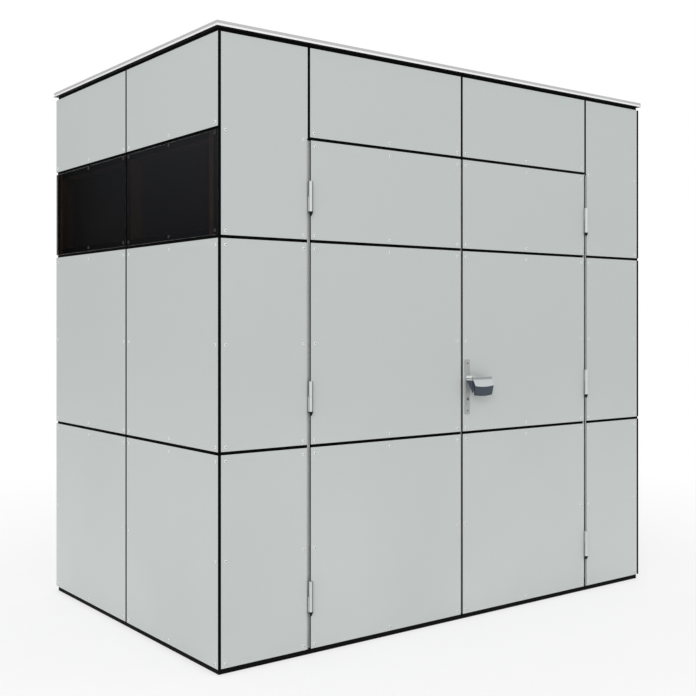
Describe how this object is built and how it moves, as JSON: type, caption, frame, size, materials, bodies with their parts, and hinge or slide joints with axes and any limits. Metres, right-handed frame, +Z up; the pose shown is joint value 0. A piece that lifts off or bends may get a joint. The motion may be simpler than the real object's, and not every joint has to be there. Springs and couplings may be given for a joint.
{
  "type": "garden shed",
  "caption": "Flat-roofed garden shed clad in light grey panels with black open joints, outward double doors, a lever lock and a dark tinted ribbon window.",
  "frame": {"origin": "on the ground in the middle of the building, on the underside of the middle floor bearer", "axes": "+Z up, +X along the front from the left corner to the right, the doors face -Y"},
  "size_m": [2.42, 1.588, 2.363],
  "materials": {
    "laminate": "satin light grey, black core",
    "tinted_glass": "dark tinted, polished",
    "timber": "planed softwood",
    "deck_board": "birch plywood",
    "black_base": "matt black",
    "roof_rubber": "matt black",
    "trim_metal": "satin anodised",
    "leaf_frame_metal": "light grey powder coat",
    "steel": "satin stainless"
  },
  "bodies": {
    "shed": {"front_left_panels": "laminate", "front_right_panels": "laminate", "transom_panels": "laminate", "left_wall_panels": "laminate", "right_wall_panels": "laminate", "back_wall_panels": "laminate", "window_panes": "tinted_glass", "corner_posts": "timber", "door_posts": "timber", "wall_studs": "timber", "front_column_rails": "timber", "left_wall_rails": "timber", "right_wall_rails": "timber", "back_wall_rails": "timber", "door_head": "timber", "door_stops": "timber", "long_top_plates": "timber", "short_top_plates": "timber", "roof_joists": "timber", "floor_bearers": "timber", "floor_deck": "deck_board", "roof_deck": "deck_board", "side_base_beams": "black_base", "front_back_base_beams": "black_base", "threshold": "black_base", "hinge_caps": "black_base", "roof_membrane": "roof_rubber", "long_roof_kerbs": "roof_rubber", "short_roof_kerbs": "roof_rubber", "roof_trim_front": "trim_metal", "roof_trim_back": "trim_metal", "roof_trim_left": "trim_metal", "roof_trim_right": "trim_metal", "fixed_hinge_halves": "steel"},
    "left_leaf": {"left_leaf_stiles": "leaf_frame_metal", "left_leaf_rails": "leaf_frame_metal", "left_leaf_panels": "laminate", "left_moving_hinge_halves": "steel"},
    "right_leaf": {"right_leaf_stiles": "leaf_frame_metal", "right_leaf_rails": "leaf_frame_metal", "right_leaf_panels": "laminate", "right_moving_hinge_halves": "steel", "lock_plates": "steel"},
    "lever": {"outer_lever": "steel", "inner_lever": "steel"}
  },
  "joints": [
    {"name": "left_door", "type": "hinge", "parent": "shed", "child": "left_leaf", "pos_m": [-0.797, -0.7695, 0], "axis": [0, 0, -1], "range_deg": [0, 110]},
    {"name": "right_door", "type": "hinge", "parent": "shed", "child": "right_leaf", "pos_m": [0.797, -0.7695, 0], "axis": [0, 0, 1], "range_deg": [0, 110]},
    {"name": "lever_turn", "type": "hinge", "parent": "right_leaf", "child": "lever", "pos_m": [0.031, -0.764, 1.036], "axis": [0, 1, 0], "range_deg": [0, 40], "stiffness_Nm_per_rad": 1.5, "springref_deg": -17.19}
  ]
}
